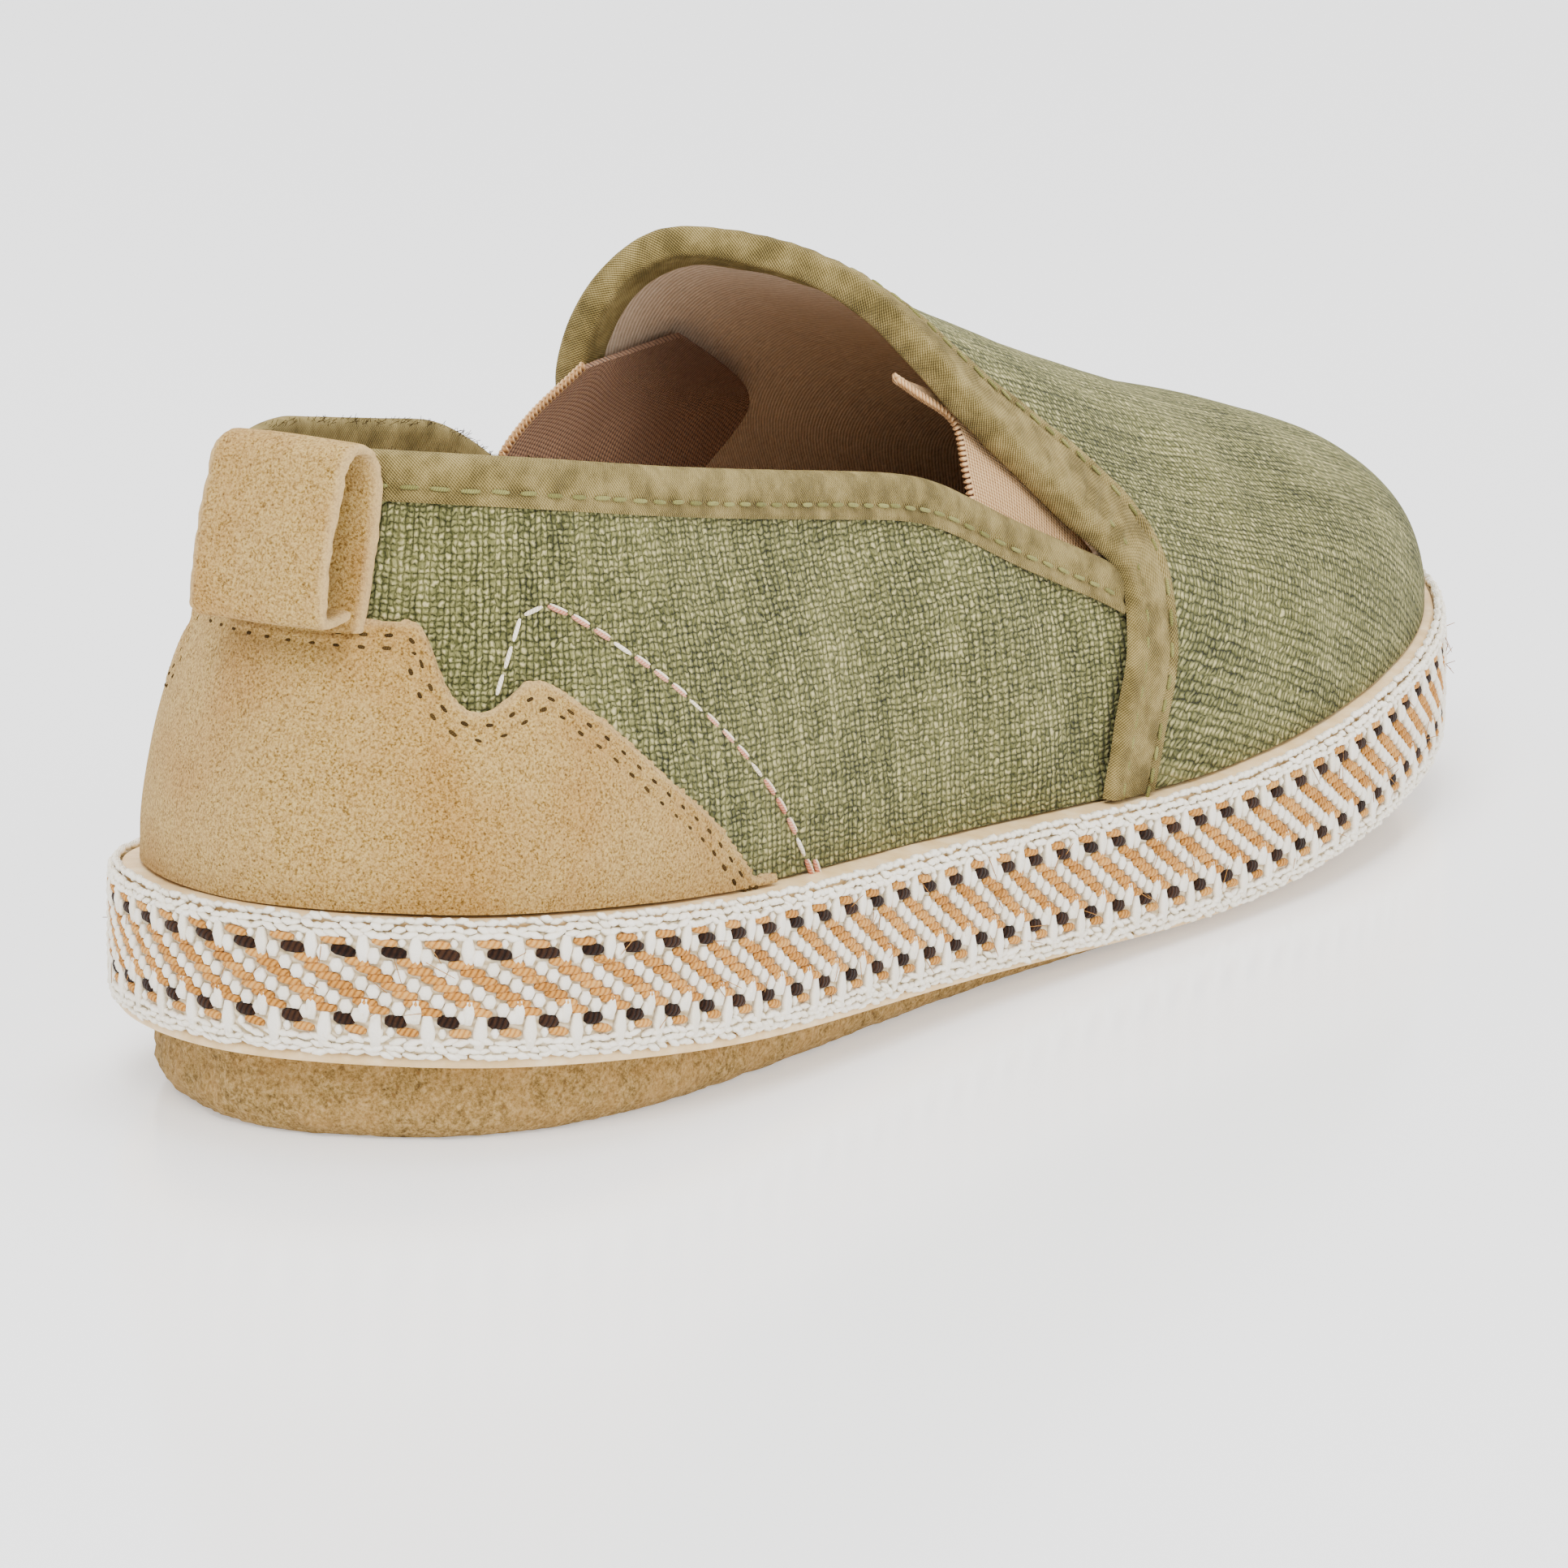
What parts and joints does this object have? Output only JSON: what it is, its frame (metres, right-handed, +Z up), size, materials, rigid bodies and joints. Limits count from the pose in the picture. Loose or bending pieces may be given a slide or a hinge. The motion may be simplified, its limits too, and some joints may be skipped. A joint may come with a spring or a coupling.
{
  "type": "slip-on sneaker",
  "caption": "Low slip-on canvas shoe with elastic side gores, suede heel counter and pull loop, and a woven band round a platform sole.",
  "frame": {"origin": "on the floor under the middle of the sole's outline", "axes": "+Y towards the toe, +X towards the foot's outer side, +Z up"},
  "size_m": [0.0964, 0.2902, 0.0998],
  "materials": {
    "crepe": "crumbly natural crepe rubber",
    "platform": "smooth moulded foam rubber",
    "braid": "coarse woven cotton and jute tape",
    "lining": "brushed textile",
    "canvas": "washed slubbed canvas",
    "twill": "folded cotton twill tape",
    "elastic": "ribbed elastic webbing",
    "suede": "napped suede"
  },
  "bodies": {
    "root": {"outsole": "crepe", "midsole": "platform", "braid_band": "braid", "insole": "lining", "upper": "canvas", "collar_binding": "twill", "vamp_binding": "twill", "gore_lateral": "elastic", "gore_medial": "elastic", "heel_counter": "suede", "pull_loop": "suede"}
  },
  "joints": []
}
